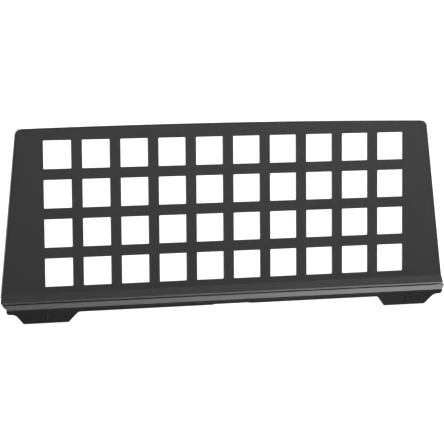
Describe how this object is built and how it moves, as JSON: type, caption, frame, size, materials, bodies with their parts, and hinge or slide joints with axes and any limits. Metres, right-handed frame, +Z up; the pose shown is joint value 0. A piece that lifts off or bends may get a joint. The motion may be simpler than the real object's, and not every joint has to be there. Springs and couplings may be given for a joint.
{
  "type": "keyboard music rest",
  "caption": "Leaning lattice panel with square windows, a lipped page ledge and plug-in tabs, which holds sheet music on a portable keyboard.",
  "frame": {"origin": "middle of the tab rail's flat underside, the seat that stands on the keyboard's top", "axes": "+X to the player's right along the rest, +Y away from the player, +Z up; the panel leans back 25 degrees from +Z and the tabs point along -Z"},
  "size_m": [0.4582, 0.0886, 0.1701],
  "materials": {
    "textured_plastic": "moulded in black with a fine spark-eroded texture",
    "smooth_plastic": "moulded in black, smooth and satin",
    "rail_plastic": "moulded in black, fine texture",
    "screw_steel": "black zinc"
  },
  "bodies": {
    "root": {"lattice_panel": "textured_plastic", "page_lip": "smooth_plastic", "tab_rail": "rail_plastic", "rail_screw_1": "screw_steel", "rail_screw_2": "screw_steel", "rail_screw_3": "screw_steel", "rail_screw_4": "screw_steel", "rail_screw_5": "screw_steel", "rail_screw_6": "screw_steel"}
  },
  "joints": []
}
